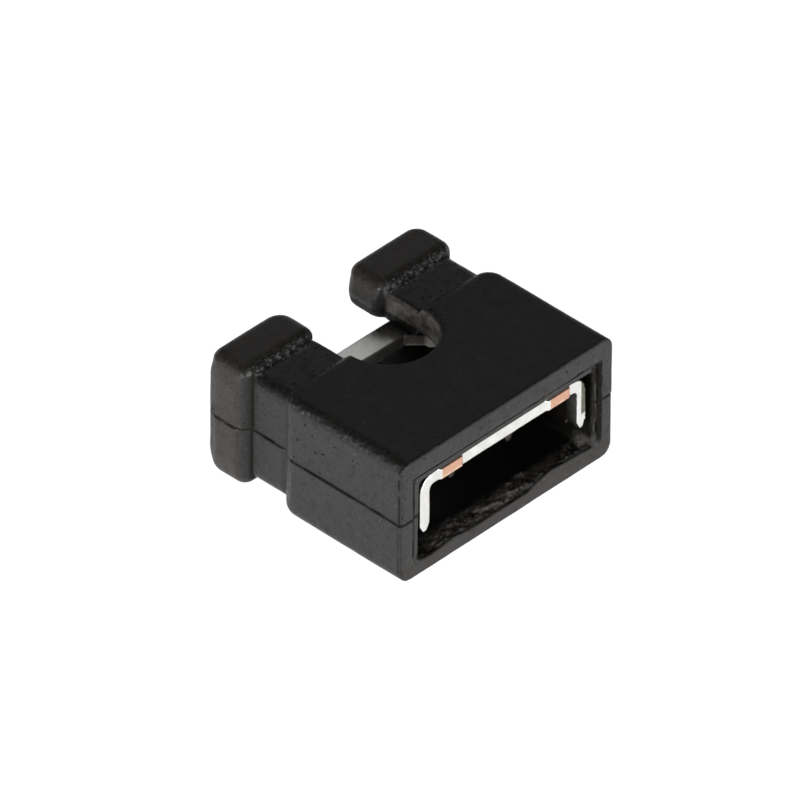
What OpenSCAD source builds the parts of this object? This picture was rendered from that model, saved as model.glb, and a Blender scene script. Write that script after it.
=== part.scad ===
// Two-way jumper shunt for 0.64 mm square posts, open-ended, with grip lips.
// Two pieces: a moulded housing, and one stamped and folded contact that bridges two posts.
// The shunt lies on its broad face: Z is its thickness, X runs along the pair of posts,
// and the posts enter at the mouth, which faces -Y.

/* [Posts] */
// Distance between the two posts
post_pitch = 2.54; // [2.4:0.02:2.7]
// Side of a square post
post_size = 0.64; // [0.5:0.02:0.7]

/* [Housing] */
// Width across both posts
housing_w = 5; // [4.8:0.1:6]
// Thickness
housing_t = 2.45; // [2.3:0.05:3]
// Length from the mouth to the end of the lips
housing_l = 4.5; // [4.4:0.1:6]
// Radius of the long outer edges
edge_r = 0.22; // [0.1:0.02:0.3]
// Depth of the V that marks the mould's parting plane
parting_v = 0.015; // [0.005:0.005:0.03]

/* [Grip] */
// Length of each lip
lip_l = 0.92; // [0.6:0.02:1.1]
// Length of the waist between body and lip
waist_l = 0.96; // [0.8:0.02:1.4]
// How deep the waist is sunk below the body
waist_depth = 0.15; // [0.06:0.01:0.16]
// Radius of the waist's long edges
waist_r = 0.24; // [0.1:0.02:0.26]
// Radius of the body's two upright back corners
body_corner = 0.36; // [0.24:0.02:0.5]
// Radius of the lips' upright front corners
lip_front = 0.24; // [0.22:0.02:0.3]
// Radius of the lips' upright back corners
lip_back = 0.3; // [0.22:0.02:0.4]

/* [Slot] */
// Width of the slot between the waists
slot_w = 1.66; // [1.4:0.02:2]
// How far the slot stands off the middle, as moulded
slot_shift = -0.03; // [-0.06:0.01:0.06]
// Depth of the slot from the back
slot_l = 2.62; // [2.2:0.02:3]
// How far each lip narrows the slot
lip_proud = 0.05; // [0:0.01:0.1]
// Rounding of the slot's upper and lower edges
slot_edge_r = 0.18; // [0.06:0.01:0.2]

/* [Cavity] */
// Thickness of each side wall
side_wall = 0.44; // [0.38:0.02:0.5]
// Thickness of the roof over the contact's web
roof_t = 0.56; // [0.5:0.02:0.7]
// Thickness of the floor
floor_t = 0.26; // [0.24:0.02:0.34]
// How much roof and floor thicken inside the lips
ledge = 0.13; // [0.1:0.01:0.16]
// Distance from the body's back edge to the ledge
ledge_in = 0.24; // [0.2:0.02:0.4]
// Radius of the cavity's corners in the body
cavity_r = 0.1; // [0.06:0.01:0.12]
// Radius of its corners inside the grips, where the contact's barbs bite
passage_r = 0.02; // [0.01:0.005:0.02]
// Width of the sunk frame round the mouth
frame_w = 0.13; // [0.06:0.01:0.16]
// Depth of the sunk frame
frame_d = 0.03; // [0.01:0.01:0.05]

/* [Contact] */
// Thickness of the sheet
sheet_t = 0.24; // [0.18:0.01:0.26]
// Inner radius of the bends
bend_r = 0.1; // [0.06:0.01:0.12]
// Gap between the contact and the side walls
side_gap = 0.08; // [0.04:0.01:0.12]
// Gap between a barb and the side wall
barb_gap = 0.005; // [0.002:0.001:0.01]
// Gap between the web and the roof
roof_gap = 0.01; // [0.005:0.005:0.02]
// Distance of the contact's front edge behind the mouth
front_gap = 0.06; // [0.04:0.01:0.1]
// Length of the front strap along Y
strap_l = 0.44; // [0.3:0.02:0.5]
// Length of the bridge at the back along Y
bridge_l = 0.46; // [0.3:0.02:0.5]
// Distance from the lips' back faces to the bridge
bridge_in = 0.97; // [0.9:0.01:1]
// Height of the outer legs below the web
outer_leg_h = 0.9; // [0.8:0.02:1]
// Height of the inner legs below the web
inner_leg_h = 0.74; // [0.6:0.02:0.8]
// Distance of each leg's lead-in from the face of the post
lead_in = 0.15; // [0.1:0.01:0.2]
// How far each spring reaches past the face of the post
squeeze = 0.04; // [0.02:0.01:0.06]
// Distance from mouth to the springs' crowns
crown_at = 1.95; // [1.8:0.05:2.2]
// Length of the step that takes the rails down under the ledge
joggle_l = 0.24; // [0.2:0.02:0.3]
// Distance from the front strap to the inner legs
inner_leg_in = 0.1; // [0.05:0.01:0.2]
// Half the width of the window behind the inner legs
window_back = 1; // [1:0.02:1.3]
// Size of the gussets in the window's back corners
gusset = 0.24; // [0.1:0.02:0.3]
// Length of each leg's root, where it joins the web
root_l = 0.52; // [0.4:0.02:0.6]
// Gap between a spring's upper edge and the web
slit = 0.14; // [0.12:0.01:0.16]
// Width of each stub left by the carrier strip
stub_w = 0.52; // [0.3:0.01:0.6]
// How far each stub stands out of the front edge
stub_l = 0.04; // [0.02:0.01:0.05]

/* [Hidden] */

$fn = 48;
over = 0.5;                              // how far a cutter runs past what it cuts
mouth = -housing_l / 2;                  // Y of the mouth face
back = housing_l / 2;                    // Y of the lips' back faces
body_l = housing_l - lip_l - waist_l;    // from the mouth to the body's back edge
mid_z = housing_t / 2;                   // parting plane, which is also the posts' plane

cavity_w = housing_w - 2 * side_wall;
cavity_top = housing_t - roof_t;
ear_top = cavity_top - ledge;
ear_floor = floor_t + ledge;
slot_arc_y = back - slot_l + slot_w / 2; // centre of the slot's round end
waist_end = body_l + waist_l;            // from the mouth to the lips
body_end = mouth + body_l + edge_r;      // Y of the body's back, where it has fallen to the waist

web_top = cavity_top - roof_gap;
web_low = web_top - sheet_t;
bridge_top = ear_top - roof_gap;
contact_w = cavity_w - 2 * side_gap;
contact_front = mouth + front_gap;
bend_out = bend_r + sheet_t;
leg_out = contact_w / 2;                                  // outer face of an outer leg
inner_face = post_pitch / 2 - post_size / 2 - lead_in;    // face of an inner leg towards its post
window = inner_face + bend_r;                             // half the width of the web's window
bridge_y = back - bridge_in - bridge_l;  // front edge of the bridge
ledge_at = body_l + ledge_in;            // from the mouth to the ledge
crown_y = mouth + crown_at;              // where the springs bear on the posts
legs_y = contact_front + strap_l + inner_leg_in;

// ---------------------------------------------------------------- helpers

// Extrudes an XZ outline along Y, from y0 over a length.
module along_y(y0, length) {
    translate([0, y0 + length, 0]) rotate([90, 0, 0]) linear_extrude(length) children();
}

// Extrudes a YZ outline along X, from x0 over a length.
module along_x(x0, length) {
    translate([x0, 0, 0]) rotate([90, 0, 90]) linear_extrude(length) children();
}

// The same thing at +X and at -X.
module both_sides() {
    children();
    mirror([1, 0, 0]) children();
}

// A rectangle from its low corner to its high corner. Along its first axis, r0 rounds the corners at the low end
// and r1 those at the high end.
module end_rounded(low, high, r0, r1) {
    translate([low.x + r0, low.y]) square([high.x - low.x - r0 - r1, high.y - low.y]);
    if (r0 > 0) translate([low.x, low.y + r0]) square([r0, high.y - low.y - 2 * r0]);
    if (r1 > 0) translate([high.x - r1, low.y + r1]) square([r1, high.y - low.y - 2 * r1]);
    for (y = [0, 1]) {
        if (r0 > 0) translate([low.x + r0, y == 0 ? low.y + r0 : high.y - r0]) circle(r0);
        if (r1 > 0) translate([high.x - r1, y == 0 ? low.y + r1 : high.y - r1]) circle(r1);
    }
}

// A rectangle with four equal round corners.
module round_rect(low, high, r) {
    end_rounded(low, high, r, r);
}

// ---------------------------------------------------------------- housing

// The V that marks the parting plane, along a straight length of Y: a square bar stood on its corner.
module parting_bar(x, y0, y1) {
    translate([x, 0, mid_z]) along_y(y0, y1 - y0) rotate(45) square(parting_v * sqrt(2), center = true);
}

// The parting plane's mark all round: on the sides of body, waists and lips, across the mouth and the lips' backs.
module parting_line() {
    half = housing_w / 2;
    both_sides() {
        parting_bar(half, mouth - over, back + over);
        parting_bar(half - waist_depth, body_end, mouth + waist_end);
    }
    for (y = [mouth, back]) translate([-half - over, y, mid_z]) rotate([90, 0, 90])
        linear_extrude(2 * half + 2 * over) rotate(45) square(parting_v * sqrt(2), center = true);
}

// A block with its long edges and its two ends rounded by r, and its upright corners by wider radii: front ones at
// its low Y, back ones at its high Y. A front of 0 leaves that end flat.
module block(low, high, r, front, back) {
    intersection() {
        along_y(low.y, high.y - low.y) round_rect([low.x, low.z], [high.x, high.z], r);
        along_x(low.x - over, high.x - low.x + 2 * over)
            end_rounded([low.y, low.z], [high.y, high.z], min(front, r), r);
        translate([0, 0, low.z - over]) linear_extrude(high.z - low.z + 2 * over)
            mirror([1, -1, 0]) end_rounded([low.y, low.x], [high.y, high.x], front, back);
    }
}

// Body and waist as one solid with a flat mouth.
module body_form() {
    half = housing_w / 2;
    block([-half, mouth, 0], [half, body_end, housing_t], edge_r, 0, body_corner);
    along_y(body_end - 0.5, mouth + waist_end + lip_front - body_end + 0.5)
        round_rect([waist_depth - half, waist_depth], [half - waist_depth, housing_t - waist_depth], waist_r);
}

// The two lips, rounded on every side. They are thicker than the waist and stand into the slot.
module lips() {
    inner = slot_w / 2 - lip_proud;
    block([slot_shift + inner, mouth + waist_end, 0], [housing_w / 2, back, housing_t],
          edge_r, lip_front, lip_back);
    block([-housing_w / 2, mouth + waist_end, 0], [slot_shift - inner, back, housing_t],
          edge_r, lip_front, lip_back);
}

// The slot between the grips, a U with a round end.
module slot_outline() {
    translate([0, slot_arc_y]) circle(slot_w / 2);
    translate([-slot_w / 2, slot_arc_y]) square([slot_w, back + over - slot_arc_y]);
}

// Rounds one edge of the slot: what lies outside a quarter circle, at a distance from the slot's middle.
module edge_outline(half, z) {
    r = slot_edge_r;
    bite = r * 0.92;
    difference() {
        translate([half - 0.05, z - bite]) square([bite + 0.05, bite + 0.05]);
        translate([half + bite, z - bite]) circle(r);
    }
}

// The upper edge of the slot: round its end in the body and along the waists.
module slot_edges() {
    translate([0, slot_arc_y, 0]) rotate_extrude(angle = 180, start = 180)
        edge_outline(slot_w / 2, housing_t);
    both_sides() {
        along_y(slot_arc_y, body_end - slot_arc_y) edge_outline(slot_w / 2, housing_t);
        along_y(body_end, back - body_end) edge_outline(slot_w / 2, housing_t - waist_depth);
    }
}

// The tunnel from the mouth to the back: wide in the body, lower inside the grips, with the mouth's sunk frame.
module cavity() {
    half = cavity_w / 2;
    along_y(mouth - over, ledge_at + over) round_rect([-half, floor_t], [half, cavity_top], cavity_r);
    along_y(mouth + ledge_at - 0.1, housing_l - ledge_at + 0.1 + over)
        round_rect([-half, ear_floor], [half, ear_top], passage_r);
    along_y(mouth - over, frame_d + over)
        round_rect([-half - frame_w, floor_t], [half + frame_w, cavity_top + frame_w], cavity_r);
}

module housing() {
    color([0.09, 0.09, 0.09]) difference() {
        union() {
            difference() {
                body_form();
                translate([slot_shift, 0, -over]) linear_extrude(housing_t + 2 * over) slot_outline();
                translate([slot_shift, 0, 0]) slot_edges();
                translate([slot_shift, 0, housing_t]) mirror([0, 0, 1]) slot_edges();
            }
            lips();
        }
        cavity();
        parting_line();
    }
}

// ---------------------------------------------------------------- contact

// The front view of the contact, as a folded sheet: web, outer leg and inner leg at +X.
module folded_half(outer_low, inner_low) {
    square_top = web_top - bend_out;
    // web between the two bends
    translate([window, web_low]) square([leg_out - bend_out - window, sheet_t]);
    // outer bend and leg, with a coined tip
    translate([leg_out - bend_out, square_top]) intersection() {
        difference() {
            circle(bend_out);
            circle(bend_r);
        }
        square(bend_out);
    }
    leg(leg_out - sheet_t, outer_low, square_top);
    // inner bend and leg
    translate([window, square_top]) intersection() {
        difference() {
            circle(bend_out);
            circle(bend_r);
        }
        translate([-bend_out, 0]) square(bend_out);
    }
    leg(window - bend_out, inner_low, square_top);
}

// The edge of a leg from its coined tip up to its bend.
module leg(x, low, top) {
    tip = sheet_t * 0.3;
    polygon([[x, top], [x, low + 2 * tip], [x + tip, low], [x + sheet_t - tip, low],
             [x + sheet_t, low + 2 * tip], [x + sheet_t, top]]);
}

// A length of sheet bent along an arc, seen edge on.
module arc_strip(centre, r, from, to) {
    span = to - from;
    far = r + sheet_t;
    translate(centre) intersection() {
        difference() {
            circle(r + sheet_t / 2);
            circle(r - sheet_t / 2);
        }
        polygon([[0, 0], far * 2 * [cos(from), sin(from)], far * 2 * [cos(from + span / 2), sin(from + span / 2)],
                 far * 2 * [cos(to), sin(to)]]);
    }
}

// A spring seen from above. It leaves its leg along +Y, swings over to its crown on the post's face and flares
// back at its tip, in tangent arcs. reach is the sideways travel to the crown, over the length to_crown.
module spring_outline(x, y0, reach, to_crown) {
    way = reach > 0 ? 0 : 1;
    swing = 2 * atan(abs(reach) / to_crown);
    whole = to_crown / sin(swing);
    r1 = 0.4 * whole;
    r2 = 0.6 * whole;
    translate([x, y0]) mirror([way, 0]) {
        translate([-sheet_t / 2, -root_l / 2]) square([sheet_t, root_l / 2]);
        arc_strip([r1, 0], r1, 180 - swing, 180);
        translate([r1 * (1 - cos(swing)), r1 * sin(swing)]) rotate(-swing)
            square([0.8 * sheet_t, 0.1], center = true);
        arc_strip([abs(reach) - r2, to_crown], r2, -swing, 0.6 * swing);
    }
}

module contact_half() {
    outer_low = web_low - outer_leg_h;
    inner_low = web_low - inner_leg_h;
    spring_top = web_top - bend_out - slit + bend_r;
    post_out = post_pitch / 2 + post_size / 2;
    post_in = post_pitch / 2 - post_size / 2;
    outer_mid = leg_out - sheet_t / 2;
    inner_mid = window - bend_out + sheet_t / 2;
    // both legs, folded down from the web
    intersection() {
        along_y(contact_front, crown_y - contact_front) folded_half(outer_low, inner_low);
        union() {
            translate([window, contact_front, 0]) cube([cavity_w, root_l, housing_t]);
            translate([0, legs_y, 0]) cube([window, root_l, housing_t]);
        }
    }
    // the springs run on from the roots
    translate([0, 0, outer_low]) linear_extrude(spring_top - outer_low)
        spring_outline(outer_mid, contact_front + root_l, post_out - squeeze + sheet_t / 2 - outer_mid,
                       crown_y - contact_front - root_l);
    translate([0, 0, inner_low]) linear_extrude(spring_top - inner_low)
        spring_outline(inner_mid, legs_y + root_l, post_in + squeeze - sheet_t / 2 - inner_mid,
                       crown_y - legs_y - root_l);
}

module contact() {
    color([0.8, 0.8, 0.8]) union() {
        both_sides() contact_half();
        web();
    }
}

module web() {
    rail_out = leg_out - bend_out;
    drop = web_top - bridge_top;
    joggle_end = mouth + ledge_at - 0.1;
    joggle_at = joggle_end - joggle_l;
    // front strap
    translate([-rail_out, contact_front, web_low]) cube([2 * rail_out, strap_l, sheet_t]);
    // roots of the inner legs, on the rails' inner edges
    both_sides() translate([window, contact_front, web_low])
        cube([window_back - window + 0.1, legs_y + root_l + 0.08 - contact_front, sheet_t]);
    // rails, stepped down under the ledge
    both_sides() along_x(window_back, rail_out - window_back) polygon([
        [contact_front, web_low], [joggle_at, web_low], [joggle_end, web_low - drop],
        [bridge_y + bridge_l, web_low - drop], [bridge_y + bridge_l, bridge_top],
        [joggle_end, bridge_top], [joggle_at, web_top], [contact_front, web_top]]);
    // bridge, with a barb at each end that bites the side wall
    barb = cavity_w / 2 - barb_gap;
    translate([0, 0, bridge_top - sheet_t]) linear_extrude(sheet_t) both_sides() polygon([
        [0, bridge_y], [rail_out, bridge_y], [barb, bridge_y + bridge_l * 0.5], [barb, bridge_y + bridge_l * 0.75],
        [rail_out, bridge_y + bridge_l], [0, bridge_y + bridge_l]]);
    // gussets in the window's back corners
    translate([0, 0, bridge_top - sheet_t]) linear_extrude(sheet_t) both_sides() polygon([
        [window_back - gusset, bridge_y], [window_back, bridge_y - gusset], [window_back + 0.1, bridge_y - gusset],
        [window_back + 0.1, bridge_y + 0.1], [window_back - gusset, bridge_y + 0.1]]);
    // stubs of the carrier strip
    both_sides() translate([post_pitch / 2 - stub_w / 2, contact_front - stub_l, web_low + 0.01])
        cube([stub_w, stub_l + 0.05, sheet_t - 0.03]);
}

housing();
contact();
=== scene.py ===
import math

import bmesh
import bpy
import numpy as np
from mathutils import Matrix, Vector


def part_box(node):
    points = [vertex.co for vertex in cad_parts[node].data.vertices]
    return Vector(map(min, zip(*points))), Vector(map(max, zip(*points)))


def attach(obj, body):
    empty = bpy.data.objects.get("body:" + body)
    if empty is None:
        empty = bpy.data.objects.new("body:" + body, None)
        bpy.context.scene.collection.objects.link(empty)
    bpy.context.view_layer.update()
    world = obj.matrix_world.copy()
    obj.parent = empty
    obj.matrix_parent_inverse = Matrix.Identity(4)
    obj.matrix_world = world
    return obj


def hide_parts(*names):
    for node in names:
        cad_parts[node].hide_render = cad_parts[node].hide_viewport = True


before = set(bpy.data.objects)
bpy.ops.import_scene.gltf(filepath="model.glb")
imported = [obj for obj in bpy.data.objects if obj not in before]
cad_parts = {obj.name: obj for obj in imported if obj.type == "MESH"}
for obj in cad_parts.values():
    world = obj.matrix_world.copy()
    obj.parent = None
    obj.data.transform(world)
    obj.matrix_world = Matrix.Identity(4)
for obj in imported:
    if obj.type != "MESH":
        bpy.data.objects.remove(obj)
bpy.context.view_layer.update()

# ---------------------------------------------------------------- housing
# One moulding in black glass-filled thermoplastic. Two mould halves shape it outside and meet at half its
# thickness. A core pulled out of the mouth shapes it inside, and left a sunk frame and a torn lower edge.

MM = 0.001                       # meshes are worked in millimetres, then brought to metres
HOUSING_VOXEL = 0.019
housing_low, housing_high = (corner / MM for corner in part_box("housing"))
parting_z = (housing_low.z + housing_high.z) / 2
mouth_y = -2.25
body_end = 0.59                  # where the body has fallen to the waist
lips_start = 1.33
lips_end = 2.25
slot_left, slot_right = -0.81, 0.75
half_width = 2.5
height = 2.45
opening_half = 2.06              # half the mouth's width
frame_w = 0.13                   # how far the sunk frame reaches past the mouth's opening
frame_middle, frame_half = 1.07, 0.96    # the frame's middle and half height along Z


class Wire:
    """A socket that takes part in plain arithmetic, in a shader or a geometry tree."""

    def __init__(self, tree, socket=None):
        self.tree = tree
        self.socket = socket

    def plug(self, value, socket):
        if isinstance(value, Wire):
            self.tree.links.new(value.socket, socket)
        else:
            socket.default_value = value

    def node(self, kind, settings=None, out=0, **inputs):
        """Adds a node and returns one output. An input is named by its socket, or by in0, in1 and so on."""
        made = self.tree.nodes.new(kind)
        for name, value in (settings or {}).items():
            setattr(made, name, value)
        for name, value in inputs.items():
            numbered = name.startswith("in") and name[2:].isdigit()
            self.plug(value, made.inputs[int(name[2:]) if numbered else name.replace("_", " ")])
        return Wire(self.tree, made.outputs[out])

    def maths(self, operation, *values):
        inputs = {f"in{i}": value for i, value in enumerate(values)}
        return self.node("ShaderNodeMath", {"operation": operation}, **inputs)

    def leave(self, value, kind="NodeGroupOutput"):
        """Joins a value to the tree's output."""
        self.plug(value, self.tree.nodes.new(kind).inputs[0])

    def __add__(self, other):
        return self.maths("ADD", self, other)

    def __sub__(self, other):
        return self.maths("SUBTRACT", self, other)

    def __rsub__(self, other):
        return self.maths("SUBTRACT", other, self)

    def __mul__(self, other):
        return self.maths("MULTIPLY", self, other)

    __radd__ = __add__
    __rmul__ = __mul__

    def step(self, low, high):
        """0 below low, 1 above high, and a smooth rise between them. low may be the larger: it then falls."""
        settings = {"interpolation_type": "SMOOTHSTEP"}
        if low < high:
            return self.node("ShaderNodeMapRange", settings, Value=self, From_Min=low, From_Max=high)
        return 1 - self.node("ShaderNodeMapRange", settings, Value=self, From_Min=high, From_Max=low)

    def near(self, value, width):
        """1 at a value, falling to 0 at width on either side of it."""
        return self.maths("ABSOLUTE", self - value).step(width, 0)


def copy_in_mm(node):
    """A closed copy of a CAD node's mesh, in millimetres."""
    bm = bmesh.new()
    bm.from_mesh(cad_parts[node].data)
    bmesh.ops.scale(bm, vec=(1 / MM,) * 3, verts=bm.verts)
    bmesh.ops.remove_doubles(bm, verts=bm.verts, dist=0.0004)
    return bm


def lump(bm, place, size, turn):
    """A small uneven blob, which fuses with what it touches."""
    turned = Matrix.Rotation(turn, 4, Vector((0.3, 0.5, 0.8)))
    matrix = Matrix.Translation(place) @ turned @ Matrix.Diagonal((*size, 1))
    bmesh.ops.create_icosphere(bm, subdivisions=1, radius=1, matrix=matrix)


def modified(name, mesh, kind, **settings):
    """The mesh that a modifier makes of another."""
    piece = bpy.data.objects.new(name, mesh)
    bpy.context.scene.collection.objects.link(piece)
    modifier = piece.modifiers.new(kind, kind)
    for key, value in settings.items():
        setattr(modifier, key, value)
    made = bpy.data.meshes.new_from_object(piece.evaluated_get(bpy.context.evaluated_depsgraph_get()))
    bpy.data.objects.remove(piece)
    return made


def fused(name, bm, voxel):
    """One skin round everything in bm, with every edge softened by about a voxel."""
    mesh = bpy.data.meshes.new(name)
    bm.to_mesh(mesh)
    bm.free()
    return modified(name, mesh, "REMESH", mode="VOXEL", voxel_size=voxel, use_smooth_shade=True)


def relief_tree(name, layers):
    """A tree that moves a surface along its normals by layers of noise, each a label, a size and a height."""
    tree = bpy.data.node_groups.new(name, "GeometryNodeTree")
    tree.interface.new_socket("Geometry", in_out="INPUT", socket_type="NodeSocketGeometry")
    tree.interface.new_socket("Geometry", in_out="OUTPUT", socket_type="NodeSocketGeometry")
    for label, size, depth in layers:
        for part, value in ((" size", size), (" height", depth)):
            socket = tree.interface.new_socket(label + part, in_out="INPUT", socket_type="NodeSocketFloat")
            socket.default_value = value
    wire = Wire(tree)
    mesh = wire.node("NodeGroupInput")
    entry = tree.nodes[0]
    where = wire.node("GeometryNodeInputPosition")
    height = 0.0
    for index in range(len(layers)):
        size = Wire(tree, entry.outputs[1 + 2 * index])
        depth = Wire(tree, entry.outputs[2 + 2 * index])
        noise = wire.node("ShaderNodeTexNoise", {"noise_dimensions": "3D"}, Vector=where,
                          Scale=wire.maths("DIVIDE", 1.0, size), Detail=2.0)
        height = (noise - 0.5) * depth + height
    push = wire.node("ShaderNodeVectorMath", {"operation": "SCALE"},
                     in0=wire.node("GeometryNodeInputNormal"), Scale=height)
    moved = wire.node("GeometryNodeSetPosition", Geometry=mesh, Offset=push)
    wire.leave(moved)
    return tree


def finished(name, mesh, material, node):
    """Brings a mesh to metres as a piece that stands for a CAD node."""
    mesh.transform(Matrix.Diagonal((MM, MM, MM, 1)))
    mesh.materials.clear()
    mesh.materials.append(material)
    mesh.polygons.foreach_set("use_smooth", np.ones(len(mesh.polygons), bool))
    mesh.update()
    piece = bpy.data.objects.new(name, mesh)
    bpy.context.scene.collection.objects.link(piece)
    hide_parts(node)
    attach(piece, "root")
    return piece


def field(points, size, seed, waves=24):
    """A smooth random value at each point, about -1 to 1, in bumps about size across."""
    rng = np.random.default_rng(seed)
    turns = rng.normal(size=(waves, 3))
    lengths = np.linalg.norm(turns, axis=1, keepdims=True)
    turns *= rng.uniform(0.6, 1.5, (waves, 1)) * 2 * math.pi / size / lengths
    return np.sin(points @ turns.T + rng.uniform(0, 2 * math.pi, waves)).sum(1) / math.sqrt(waves)


def rise(values, low, high):
    """0 below low and 1 above high, smooth between them. low may be the larger: it then falls."""
    t = np.clip((values - low) / (high - low), 0, 1)
    return t * t * (3 - 2 * t)


def hill(values, centre, width):
    return rise(np.abs(values - centre), width, 0)


def soft_block(points, low, high, edge, front, back):
    """How far points stand outside a block with round edges and wider radii at its upright corners."""
    centre = (low + high) / 2
    half = (high - low) / 2
    corner = np.where(points[:, 1] > centre[1], back, front)
    out = np.abs(points[:, :2] - centre[:2]) - half[:2] + corner[:, None]
    plan = np.hypot(*np.maximum(out, 0).T) + np.minimum(out.max(1), 0) - corner
    tall = np.abs(points[:, 2] - centre[2]) - half[2]
    over = np.stack([plan, tall], 1) + edge
    return np.hypot(*np.maximum(over, 0).T) + np.minimum(over.max(1), 0) - edge


def softened(points, *block):
    """Points that stand outside a soft block, brought onto it."""
    step = 1e-4
    outside = np.maximum(soft_block(points, *block), 0)
    slope = np.stack([soft_block(points + step * axis, *block) - soft_block(points - step * axis, *block)
                      for axis in np.eye(3)], 1) / (2 * step)
    return points - slope * outside[:, None]


def relaxed(points, edges, weight, rounds):
    """Points drawn towards their neighbours, each by its own weight."""
    first, second = edges.T
    count = np.bincount(edges.ravel(), minlength=len(points))
    for _ in range(rounds):
        total = [np.bincount(first, points[second, k], len(points))
                 + np.bincount(second, points[first, k], len(points)) for k in range(3)]
        points = points + weight[:, None] * (np.stack(total, 1) / count[:, None] - points)
    return points


def sculpted(mesh, moves):
    """Runs moves, a function of points, normals and edges, over a mesh."""
    points = np.empty(3 * len(mesh.vertices))
    normals = np.empty(3 * len(mesh.vertices))
    edges = np.empty(2 * len(mesh.edges), int)
    mesh.vertices.foreach_get("co", points)
    mesh.vertices.foreach_get("normal", normals)
    mesh.edges.foreach_get("vertices", edges)
    points = moves(points.reshape(-1, 3), normals.reshape(-1, 3), edges.reshape(-1, 2))
    mesh.vertices.foreach_set("co", points.ravel())
    mesh.update()


# the height of the mouth's lower lip along X: the core has torn it, and left it standing up to the right
TORN_LIP = [(-2.1, 0.32), (-1.85, 0.26), (-1.54, 0.28), (-1.22, 0.32), (-0.9, 0.27), (-0.6, 0.24),
            (0.0, 0.21), (0.3, 0.23), (0.55, 0.27), (0.8, 0.35), (1.04, 0.41), (1.35, 0.39), (1.75, 0.37),
            (2.1, 0.33)]


def housing_moves(points, normals, edges):
    x, y, z = points.T
    edge = 0.22
    # body and lips lose their sharp mitres, as a polished mould leaves them
    body_corners, lip_corners = (0.36, 0.36), (0.24, 0.3)
    past_mouth = -4
    body = (np.array((-half_width, past_mouth, 0)), np.array((half_width, body_end, height)),
            edge, *body_corners)
    left = (np.array((-half_width, lips_start, 0)), np.array((slot_left, lips_end, height)),
            edge, *lip_corners)
    right = (np.array((slot_right, lips_start, 0)), np.array((half_width, lips_end, height)),
             edge, *lip_corners)
    at_lips = y > lips_start
    for block, here in ((body, y < body_end), (left, at_lips & (x < 0)), (right, at_lips & (x > 0))):
        points[here] = softened(points[here], *block)
    # the feet of body and lips are filleted, and every edge is a little soft
    foot = np.maximum(hill(y, body_end - 0.02, 0.10), hill(y, lips_start, 0.10))
    foot = foot * rise(np.abs(z - parting_z), 0.9, 1.0)
    foot = np.maximum(foot, hill(y, lips_start, 0.08) * rise(np.abs(x), 2.1, 2.2))
    points = relaxed(points, edges, 0.5 * foot, 12)
    points = relaxed(points, edges, np.full(len(points), 0.5), 3)
    x, y, z = points.T
    shift = np.zeros_like(points)
    # the parting plane's groove, broken here and there
    outer = np.maximum(rise(np.abs(x), 2.2, 2.3), rise(y, mouth_y + 0.05, mouth_y + 0.03))
    broken = rise(field(points, 0.9, 3), -0.5, -0.1)
    shift -= normals * (0.014 * hill(z, parting_z, 0.025) * outer * broken)[:, None]
    # the groove round the mouth's sunk frame, where the core met the cavity plate
    across = np.abs(x) - (opening_half + frame_w)
    above = np.abs(z - frame_middle) - frame_half
    turn = 0.1
    round_frame = np.hypot(np.maximum(across + turn, 0), np.maximum(above + turn, 0)) + np.minimum(
        np.maximum(across, above) + turn, 0) - turn
    wander = 0.012 * field(points, 0.35, 5)
    face = rise(y, mouth_y + 0.12, mouth_y + 0.06) * rise(z, 0.3, 0.5)
    shift[:, 1] += 0.045 * hill(round_frame + wander, 0, 0.028) * face * (0.75 + 0.4 * field(points, 0.5, 6))
    # the lips swell a little between their rounded edges
    lip = rise(y, lips_start + 0.02, lips_start + 0.12)
    swell = rise(z, 0.1, 0.5) * rise(z, 2.35, 2.0) * lip
    shift[:, 0] -= 0.035 * swell * rise(x, -2.2, -2.4)
    shift[:, 1] += 0.035 * swell * rise(x, -1.9, -2.3) * rise(y, 2.0, 2.15)
    shift[:, 0] += 0.06 * lip * hill(x + 0.8, 0, 0.35) * rise(z, 1.9, 2.0)
    shift[:, 0] -= 0.09 * lip * hill(x - 0.75, 0, 0.35) * hill(z, 1.98, 0.42)
    # small pits and teeth along the long upper edge of the left side, and a rough wall in the slot
    ragged = hill(x + 2.38, 0, 0.14) * hill(z - 2.34, 0, 0.14) * rise(y, 1.3, 1.2)
    shift += normals * (0.007 * field(points, 0.09, 7) * ragged)[:, None]
    wall = hill(x - 0.8, 0, 0.12) * rise(y, 0.1, 0.4) * rise(z, 1.5, 1.7) * rise(y, 1.5, 1.3)
    shift += normals * (0.004 * field(points, 0.13, 8) * wall)[:, None]
    # crumpled skin on the floor behind the torn lip
    floor = hill(z, 0.3, 0.2) * rise(np.abs(x), 2.15, 2.0)
    reach = 0.42 + 0.1 * field(points * (1, 0, 0), 0.8, 9)
    zone = floor * rise(y - mouth_y, 0.02, 0.08) * rise(y - mouth_y, reach, reach - 0.15)
    along = points * (0.6, 1, 1)
    folds = 0.03 + 0.028 * field(along, 0.34, 10) + 0.016 * field(along, 0.13, 12)
    folds = folds + 0.010 * field(points, 0.07, 13)
    shift[:, 2] += zone * folds
    return points + shift


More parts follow.
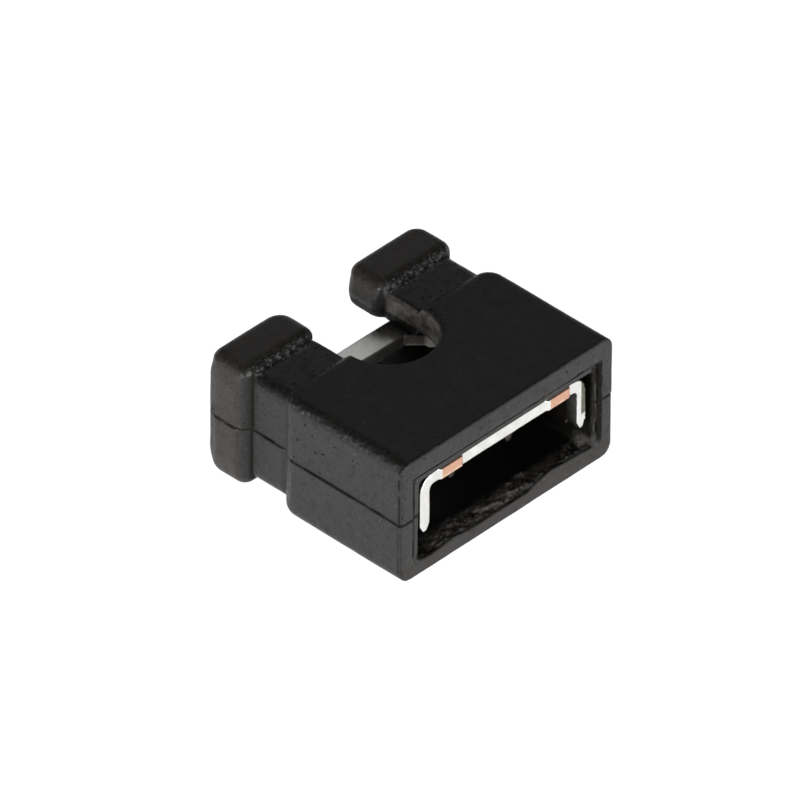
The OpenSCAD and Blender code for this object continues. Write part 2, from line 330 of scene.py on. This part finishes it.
def torn_lip(bm):
    """A wavy strip that stands along the mouth's lower edge, flush with the rim."""
    rng = np.random.default_rng(21)
    rows = []
    for x in np.linspace(-2.1, 2.1, 120):
        top = np.interp(x, *zip(*TORN_LIP)) + rng.normal() * 0.004
        back = 0.10 + 0.02 * math.sin(7 * x) + rng.normal() * 0.006
        rows.append([bm.verts.new(corner) for corner in (
            (x, mouth_y + 0.002, 0.1), (x, mouth_y + 0.002, top - 0.015), (x, mouth_y + 0.03, top),
            (x, mouth_y + back, top - 0.04), (x, mouth_y + back + 0.05, 0.2),
            (x, mouth_y + back + 0.05, 0.1))])
    skin = [bm.faces.new(rows[0][::-1]), bm.faces.new(rows[-1])]
    for one, two in zip(rows, rows[1:]):
        skin += [bm.faces.new((one[k], one[(k + 1) % 6], two[(k + 1) % 6], two[k])) for k in range(6)]
    bmesh.ops.recalc_face_normals(bm, faces=skin)


def crumb_tree(material):
    """A tree that strews crumbs of a material along the edges of a mesh."""
    tree = bpy.data.node_groups.new("torn crumbs", "GeometryNodeTree")
    tree.interface.new_socket("Geometry", in_out="INPUT", socket_type="NodeSocketGeometry")
    tree.interface.new_socket("Geometry", in_out="OUTPUT", socket_type="NodeSocketGeometry")
    for label, kind, value in (("Spacing", "Float", 0.05), ("Spread", "Float", 0.03), ("Size", "Float", 0.03),
                               ("Seed", "Int", 4)):
        socket = tree.interface.new_socket(label, in_out="INPUT", socket_type="NodeSocket" + kind)
        socket.default_value = value
    wire = Wire(tree)
    lines = wire.node("NodeGroupInput")
    spacing, spread, size, seed = (Wire(tree, tree.nodes[0].outputs[k]) for k in (1, 2, 3, 4))
    curve = wire.node("GeometryNodeMeshToCurve", Mesh=lines)
    dots = wire.node("GeometryNodeCurveToPoints", {"mode": "LENGTH"}, Curve=curve, Length=spacing)

    def random_vector(low, high, extra):
        return wire.node("FunctionNodeRandomValue", {"data_type": "FLOAT_VECTOR"}, in0=low, in1=high,
                         in8=wire.maths("ADD", seed, extra))

    offset = wire.node("ShaderNodeVectorMath", {"operation": "SCALE"},
                       in0=random_vector((-1, -1, -1), (1, 1, 1), 0), Scale=spread)
    strewn = wire.node("GeometryNodeSetPosition", Geometry=dots, Offset=offset)
    big = wire.node("ShaderNodeVectorMath", {"operation": "SCALE"},
                    in0=random_vector((0.25, 0.25, 0.25), (1.2, 1.0, 0.8), 1), Scale=size)
    ball = wire.node("GeometryNodeMeshIcoSphere", Radius=1.0, Subdivisions=2)
    crumbs = wire.node("GeometryNodeInstanceOnPoints", Points=strewn, Instance=ball, Scale=big,
                       Rotation=random_vector((0, 0, 0), (6, 6, 6), 2))
    crumbs = wire.node("GeometryNodeRealizeInstances", Geometry=crumbs)
    wire.leave(wire.node("GeometryNodeSetMaterial", Geometry=crumbs, Material=material))
    return tree


def strewn_along(name, material, lines, spacing, spread, size, seed):
    """Crumbs strewn along lines, each a list of places."""
    mesh = bpy.data.meshes.new(name)
    places = [place for line in lines for place in line]
    starts = np.cumsum([0] + [len(line) for line in lines])
    pairs = [(i, i + 1) for low, high in zip(starts, starts[1:]) for i in range(low, high - 1)]
    mesh.from_pydata(places, pairs, [])
    piece = bpy.data.objects.new(name, mesh)
    bpy.context.scene.collection.objects.link(piece)
    modifier = piece.modifiers.new("strew", "NODES")
    modifier.node_group = crumb_tree(material)
    items = modifier.node_group.interface.items_tree
    sockets = [item.identifier for item in items if item.in_out == "INPUT"][1:]
    for socket, value in zip(sockets, (spacing, spread, size, seed)):
        modifier[socket] = value
    made = bpy.data.meshes.new_from_object(piece.evaluated_get(bpy.context.evaluated_depsgraph_get()))
    bpy.data.objects.remove(piece)
    return made


def joined(name, *parts):
    bm = bmesh.new()
    for part in parts:
        bm.from_mesh(part)
    mesh = bpy.data.meshes.new(name)
    bm.to_mesh(mesh)
    bm.free()
    return mesh


def housing_mesh(material):
    bm = copy_in_mm("housing")
    # the two halves of the mould stood a little off each other
    for vert in bm.verts:
        vert.co.x += 0.028 if vert.co.z > parting_z else -0.004
    torn_lip(bm)
    # specks of flash on the parting plane, a chip by the mouth and a whisker on the right lip
    for place, size in (((-2.5, 2.1, 1.3), (0.03, 0.05, 0.04)), ((-2.5, 1.96, 1.18), (0.03, 0.07, 0.04)),
                        ((0.745, 2.2, 2.1), (0.03, 0.05, 0.012)), ((2.36, -2.26, 1.5), (0.035, 0.012, 0.06)),
                        ((2.42, -2.25, 1.32), (0.04, 0.015, 0.02))):
        lump(bm, place, size, 0.4)
    mesh = fused("housing", bm, HOUSING_VOXEL)
    sculpted(mesh, housing_moves)
    mesh = modified("housing", mesh, "NODES",
                    node_group=relief_tree("moulded skin",
                                           [("Waviness", 0.6, 0.014), ("Grain", 0.06, 0.004)]))
    triangles = 2 * len(mesh.polygons)
    mesh = modified("housing", mesh, "DECIMATE", ratio=min(1.0, 165000 / triangles))
    edge = [((x0, lips_start + 0.07, 2.39), (x1, lips_start + 0.07, 2.39))
            for x0, x1 in ((-2.22, -0.98), (0.95, 2.22))]
    foot = [((x0, lips_start - 0.03, 2.30), (x1, lips_start - 0.03, 2.30))
            for x0, x1 in ((-2.08, -1.1), (1.0, 2.08))]
    step = [((x0, body_end - 0.08, 2.405), (x1, body_end - 0.11, 2.405))
            for x0, x1 in ((-2.02, -1.0), (1.0, 2.02))]
    return joined("housing", mesh,
                  strewn_along("lip crumbs", material, edge, 0.075, 0.014, 0.030, 4),
                  strewn_along("foot crumbs", material, foot, 0.12, 0.012, 0.026, 5),
                  strewn_along("step crumbs", material, step, 0.11, 0.016, 0.026, 6))


def black_plastic():
    material = bpy.data.materials.new("black_plastic")
    material.use_nodes = True
    material.node_tree.nodes.clear()
    wire = Wire(material.node_tree)
    place = wire.node("ShaderNodeTexCoord", out=3)
    mm = wire.node("ShaderNodeMapping", Vector=place, Scale=(1 / MM,) * 3)
    x, y, z = (wire.node("ShaderNodeSeparateXYZ", out=i, Vector=mm) for i in range(3))
    wide = wire.maths("ABSOLUTE", x)

    def noise(scale, detail=2.0, roughness=0.5, shift=0.0):
        moved = wire.node("ShaderNodeMapping", Vector=mm, Location=(shift, 0.7 * shift, 1.3 * shift))
        return wire.node("ShaderNodeTexNoise", Vector=moved, Scale=scale, Detail=detail, Roughness=roughness)

    grain = noise(17.0, 3.0, 0.65)
    mottle = noise(6.0, 3.0, 0.6, 5.0)
    cloud = noise(1.6, 2.0, 0.5, 9.0)
    fleck = noise(11.0, 1.0, 0.5, 13.0).step(0.70, 0.80)
    pit = noise(12.0, 1.5, 0.5, 17.0).step(0.66, 0.74) * z.step(parting_z - 0.1, parting_z + 0.1)
    pit = pit * (1 - 0.7 * z.step(2.38, 2.44))

    # where the skin is marked, and where shade and glints are painted on it
    # painted shade inside the cavity behind the mouth
    cavity_shade = y.step(mouth_y + 0.02, mouth_y + 0.5) * wide.step(2.10, 2.05)
    cavity_shade = cavity_shade * z.step(0.16, 0.22) * z.step(1.97, 1.92)
    gaps = noise(1.3, 1.0, 0.5, 21.0).step(0.40, 0.46)
    face = y.step(mouth_y + 0.08, mouth_y + 0.05)
    outer = wire.maths("MAXIMUM", wide.step(2.2, 2.3), y.step(mouth_y + 0.05, mouth_y + 0.03))
    # painted shade along the parting groove
    parting_groove_shade = wire.maths("MAXIMUM", z.near(parting_z, 0.034) * outer * gaps, z.near(parting_z, 0.06) * face)
    # painted shade in the groove round the sunk frame
    across = wide - (opening_half + frame_w)
    above = wire.maths("ABSOLUTE", z - frame_middle) - frame_half
    round_frame = wire.maths("MAXIMUM", across, above) + 0.020 * (mottle - 0.5)
    witness_groove_shade = round_frame.near(0, 0.055) * y.step(mouth_y + 0.12, mouth_y + 0.06) * z.step(0.3, 0.5)
    witness_groove_shade = witness_groove_shade * (0.5 + cloud).step(0.5, 0.9)
    # on the right the frame's groove is deep and wavy, and painted with shade
    wavy_groove_shade = (x + 0.10 * (mottle - 0.5)).near(2.23, 0.07).step(0.1, 0.6) * face
    wavy_groove_shade = wavy_groove_shade * z.step(0.30, 0.45) * z.step(2.10, 2.00)
    witness_groove_shade = wire.maths("MAXIMUM", witness_groove_shade, wavy_groove_shade)
    # painted shade in the crease along the mouth's outer edges, stronger above the parting
    front_edge_shade = y.near(mouth_y + 0.07, 0.05) * wide.step(2.40, 2.44)
    front_edge_shade = front_edge_shade * noise(4.0, 2.0, 0.5, 25.0).step(0.30, 0.45)
    front_edge_shade = front_edge_shade * (0.45 + 0.45 * z.step(parting_z - 0.1, parting_z + 0.1))
    # painted shade in the fillet at the foot of the lips
    lip_foot_shade = y.near(lips_start - 0.01, 0.07) * wide.step(2.2, 2.3)
    lines = wire.maths("MAXIMUM", parting_groove_shade, witness_groove_shade)
    dark = wire.maths("MAXIMUM", lines, wire.maths("MAXIMUM", front_edge_shade, lip_foot_shade))
    dark = wire.maths("MINIMUM", dark, 1.0)
    lips = y.step(lips_start, lips_start + 0.3)
    # lighter specks along the torn edges of the lips and of the body's step: partly whitened burrs, partly
    # painted glints
    torn_and_glinting = y.near(lips_start, 0.16) * z.step(2.24, 2.30)
    torn_and_glinting = torn_and_glinting + 0.5 * y.near(body_end - 0.1, 0.08) * z.step(2.36, 2.40)
    skin = y.step(mouth_y + 0.55, mouth_y + 0.35) * z.step(0.55, 0.42) * wide.step(2.2, 2.1)
    skin = skin * y.step(mouth_y + 0.04, mouth_y + 0.08) * z.step(0.05, 0.12)
    low_rim = y.step(mouth_y + 0.03, mouth_y + 0.01) * z.step(0.6, 0.3)
    # painted shade in the lower left corner of the cavity
    corner = x.step(-1.50, -1.72) * x.step(-2.12, -2.08) * z.step(0.50, 0.36)
    corner = corner * y.step(mouth_y + 0.01, mouth_y + 0.03) * y.step(mouth_y + 0.5, mouth_y + 0.3)
    slot_wall = x.near(0.78, 0.14).step(0.0, 0.3) * y.step(-0.5, 0.0) * y.step(1.34, 1.30)
    slot_wall = slot_wall * z.step(2.42, 2.34) * z.step(1.85, 1.95)
    # long rubs beside the broken leg
    rubs = wire.node("ShaderNodeMapping", Vector=mm, Scale=(30.0, 30.0, 2.5))
    rubs = wire.node("ShaderNodeTexNoise", Vector=rubs, Scale=1.0, Detail=2.0).step(0.43, 0.49)
    rubs = rubs * x.near(2.13, 0.12).step(0.0, 0.2) * y.step(mouth_y + 0.3, mouth_y + 0.2) * z.step(0.45, 0.6)
    rubs = rubs * z.step(2.04, 1.96)

    shade = 0.002 + 0.018 * grain.step(0.40, 0.75) + 0.008 * mottle + 0.003 * cloud
    shade = shade + 0.04 * fleck + 0.010 * lips + 0.10 * torn_and_glinting * noise(14.0, 1.0, 0.5, 31.0).step(0.50, 0.60)
    shade = shade + skin * (0.08 * mottle.step(0.30, 0.65) + 0.05 * grain.step(0.40, 0.70))
    shade = shade + 0.08 * slot_wall * mottle.step(0.3, 0.7)
    dark = wire.maths("MAXIMUM", dark, 0.9 * rubs)
    # painted shade: the cavity behind the mouth is darker, but not its crumpled skin
    shade = shade * (1 - 0.8 * cavity_shade * (1 - skin))
    brown = wire.maths("MINIMUM", 0.5 * lips + 0.6 * low_rim + 0.3 * skin + 0.5 * slot_wall, 1.0)
    colour = wire.node("ShaderNodeMix", {"data_type": "RGBA"}, out=2, in0=brown,
                       in6=(1.0, 1.0, 0.96, 1), in7=(1.3, 0.95, 0.75, 1))
    colour = wire.node("ShaderNodeVectorMath", {"operation": "SCALE"}, in0=colour, Scale=shade)
    rough = 0.22 + 0.26 * grain + 0.22 * mottle
    # painted shade takes the shine off grooves, pits, the cavity and its corner and the top face; rubs and
    # dull grain are the plastic's own
    ceiling = z.step(2.36, 2.43)
    creases = wire.maths("MAXIMUM", 0.85 * dark, 0.8 * pit)
    # painted shade on the top face, and dull mottle on the sides
    top_shade_and_mottle = 0.30 * ceiling * (1 - 0.8 * lips) + 0.22 * mottle.step(0.5, 0.75) * (1 - ceiling)
    darkening = wire.maths("MAXIMUM", creases, top_shade_and_mottle)
    darkening = wire.maths("MAXIMUM", darkening, 0.6 * cavity_shade * (1 - 0.9 * skin))
    darkening = wire.maths("MAXIMUM", darkening, 0.85 * corner)
    relief = grain + 0.8 * mottle - 0.7 * pit
    bump = wire.node("ShaderNodeBump", Height=relief, Strength=0.5, Distance=0.016 * MM)
    gloss = wire.node("ShaderNodeBsdfPrincipled", Base_Color=colour, Roughness=rough, Normal=bump, IOR=1.45)
    # a dark diffuse that stands for painted shade, and for the rubs and dull grain
    shade_and_wear = wire.node("ShaderNodeBsdfDiffuse", Color=(0.012, 0.011, 0.009, 1))
    wire.leave(wire.node("ShaderNodeMixShader", Fac=darkening, in1=gloss, in2=shade_and_wear), "ShaderNodeOutputMaterial")
    return material


plastic = black_plastic()
finished("moulded_housing", housing_mesh(plastic), plastic, "housing")

# ---------------------------------------------------------------- contact
# One strip of phosphor bronze under bright tin, stamped, folded and pushed into the mouth. Its front edge was
# sheared from a carrier strip, which left two bare bronze faces, and shearing left its edges rough.

contact_front = (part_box("contact")[0] / MM).y
CONTACT_VOXEL = 0.02


def contact_moves(points, normals, edges):
    x, y, z = points.T
    shift = np.zeros_like(points)
    # the right leg came out a little shorter and leaner
    right_leg = rise(x, 1.6, 1.7) * rise(y, -1.6, -1.8)
    shift[:, 2] += 0.085 * right_leg * rise(z, 1.3, 0.8)
    shift[:, 0] -= 0.020 * right_leg * rise(x, 1.8, 1.95) * rise(z, 1.75, 1.6)
    shift -= normals * (0.007 * rise(y, -1.7, -1.9))[:, None]
    shift -= normals * (0.012 * right_leg * rise(x, 1.83, 1.88) * np.abs(field(points, 0.09, 15)))[:, None]
    return relaxed(points + shift, edges, np.full(len(points), 0.4), 2)


def contact_mesh():
    bm = copy_in_mm("contact")
    mesh = fused("contact", bm, CONTACT_VOXEL)
    sculpted(mesh, contact_moves)
    mesh = modified("contact", mesh, "NODES",
                    node_group=relief_tree("rolled strip",
                                           [("Waviness", 0.4, 0.008), ("Grain", 0.05, 0.004)]))
    triangles = 2 * len(mesh.polygons)
    return modified("contact", mesh, "DECIMATE", ratio=min(1.0, 90000 / triangles))


def tinned_strip():
    material = bpy.data.materials.new("tinned_strip")
    material.use_nodes = True
    material.node_tree.nodes.clear()
    wire = Wire(material.node_tree)
    place = wire.node("ShaderNodeTexCoord", out=3)
    mm = wire.node("ShaderNodeMapping", Vector=place, Scale=(1 / MM,) * 3)
    x, y, z = (wire.node("ShaderNodeSeparateXYZ", out=i, Vector=mm) for i in range(3))
    wide = wire.maths("ABSOLUTE", x)
    grain = wire.node("ShaderNodeTexNoise", Vector=mm, Scale=24.0, Detail=3.0)
    patch = wire.node("ShaderNodeTexNoise", Vector=mm, Scale=5.0, Detail=3.0, Roughness=0.6)
    front = contact_front
    stub = (wide - 0.075 * x.step(-0.1, 0.1)).near(1.245, 0.305).step(0.05, 0.12)
    stub = stub * y.step(front + 0.040, front + 0.030)
    crack = z.near(1.69, 0.035) * stub * patch.step(0.40, 0.55)
    break_zone = x.step(1.835, 1.850) * y.step(front + 0.16, front + 0.10) * z.step(1.05, 1.15)
    break_zone = break_zone * (grain + patch).step(0.72, 0.90)
    bare = wide.near(1.745, 0.03) * x.step(0, -1) * y.step(front + 0.1, front + 0.05) * z.step(1.6, 1.5)
    # painted shade on the strip inside the housing, behind its front edge
    darkening = y.step(front + 0.06, front + 0.35) * y.step(0.84, 0.80)
    base = wire.node("ShaderNodeMix", {"data_type": "RGBA"}, out=2, in0=patch.step(0.35, 0.7),
                     in6=(0.70, 0.70, 0.67, 1), in7=(0.80, 0.80, 0.78, 1))
    for mask, colour in ((stub, (0.62, 0.37, 0.26, 1)), (crack, (0.75, 0.55, 0.42, 1)),
                         (break_zone, (0.16, 0.16, 0.13, 1)), (bare, (0.30, 0.16, 0.08, 1)),
                         (0.93 * darkening, (0.06, 0.05, 0.04, 1))):
        base = wire.node("ShaderNodeMix", {"data_type": "RGBA"}, out=2, in0=mask, in6=base, in7=colour)
    rough = 0.20 + 0.16 * grain + 0.12 * patch + 0.15 * stub + 0.3 * break_zone
    bump = wire.node("ShaderNodeBump", Height=grain + 0.6 * patch, Strength=0.3, Distance=0.010 * MM)
    bsdf = wire.node("ShaderNodeBsdfPrincipled", Base_Color=base, Metallic=1.0, Roughness=rough, Normal=bump)
    wire.leave(bsdf, "ShaderNodeOutputMaterial")
    return material


finished("folded_contact", contact_mesh(), tinned_strip(), "contact")

# ---------------------------------------------------------------- table, lights and camera
# The shunt lies loose on a white table in a light tent. The table is bright on every side of it, and the tent
# is darker overhead, so its upright faces are lighter than its top.


def table_material():
    material = bpy.data.materials.new("white_table")
    material.use_nodes = True
    material.node_tree.nodes.clear()
    wire = Wire(material.node_tree)
    seen = wire.node("ShaderNodeLightPath", out=0)
    glossy = wire.node("ShaderNodeLightPath", out=3)
    through = wire.node("ShaderNodeLightPath", out=6)
    shown = wire.maths("MINIMUM", seen + glossy + through, 1.0)
    paper = wire.node("ShaderNodeBsdfDiffuse", Color=(0.8, 0.8, 0.8, 1))
    glow = wire.node("ShaderNodeEmission", Color=(1, 1, 1, 1), Strength=0.9)
    white = wire.node("ShaderNodeAddShader", in0=paper, in1=glow)
    both = wire.node("ShaderNodeMixShader", Fac=shown, in1=paper, in2=white)
    wire.leave(both, "ShaderNodeOutputMaterial")
    return material


table = bpy.data.objects.new("table", bpy.data.meshes.new("table"))
bpy.context.scene.collection.objects.link(table)
bm = bmesh.new()
bmesh.ops.create_circle(bm, cap_ends=True, segments=96, radius=0.6)
bm.to_mesh(table.data)
bm.free()
table.data.materials.append(table_material())


def toward_az_el(azimuth, elevation):
    """The direction towards an azimuth and an elevation in degrees. Azimuth 0 is in front of the mouth."""
    a, e = math.radians(azimuth), math.radians(elevation)
    return Vector((math.sin(a) * math.cos(e), -math.cos(a) * math.cos(e), math.sin(e)))


world = bpy.data.worlds.new("tent")
bpy.context.scene.world = world
world.use_nodes = True
world.node_tree.nodes.clear()
wire = Wire(world.node_tree)
toward = wire.node("ShaderNodeTexCoord", out=0)
up = wire.node("ShaderNodeSeparateXYZ", out=2, Vector=toward)
tent = 0.95 - 0.91 * up.step(0.0, 0.20)
# a small bright panel behind the table, which the flat of the bridge mirrors
panel = toward_az_el(134, 38)
facing = wire.node("ShaderNodeVectorMath", {"operation": "DOT_PRODUCT"}, out=1, in0=toward, in1=panel)
tent = tent + 0.60 * facing.step(0.955, 0.975)
seen = wire.node("ShaderNodeLightPath", out=0)
sky = wire.node("ShaderNodeBackground", Color=(1, 1, 1, 1), Strength=wire.maths("MAXIMUM", tent, seen))
wire.leave(sky, "ShaderNodeOutputWorld")


def softbox(name, azimuth, elevation, distance, size, watts):
    lamp = bpy.data.lights.new(name, "AREA")
    lamp.size = size
    lamp.energy = watts
    holder = bpy.data.objects.new(name, lamp)
    back = toward_az_el(azimuth, elevation)
    holder.location = back * distance
    holder.rotation_mode = "QUATERNION"
    holder.rotation_quaternion = (-back).to_track_quat("-Z", "Y")
    bpy.context.scene.collection.objects.link(holder)


softbox("front", -5, 9, 0.25, 0.08, 0.42)
softbox("left", -85, 9, 0.25, 0.08, 0.42)

# the lens looks down on the mouth's left corner from far off
azimuth = -45.91
middle = Vector((0, -0.05, 1.2)) * MM
distance = 0.26915
back = toward_az_el(azimuth, 38.03)
right = Vector((math.cos(math.radians(azimuth)), math.sin(math.radians(azimuth)), 0))
up = back.cross(right)
lens = bpy.data.cameras.new("camera")
lens.sensor_width = 36
lens.lens = 733.5
lens.clip_start = 0.01
camera = bpy.data.objects.new("camera", lens)
bpy.context.scene.collection.objects.link(camera)
tilt = math.radians(0.13)
right, up = right * math.cos(tilt) + up * math.sin(tilt), up * math.cos(tilt) - right * math.sin(tilt)
place = middle + back * distance - right * 0.178 * MM + up * 0.060 * MM
camera.matrix_world = Matrix.Translation(place) @ Matrix((right, up, back)).transposed().to_4x4()
bpy.context.scene.camera = camera
bpy.context.scene.view_settings.view_transform = "Standard"
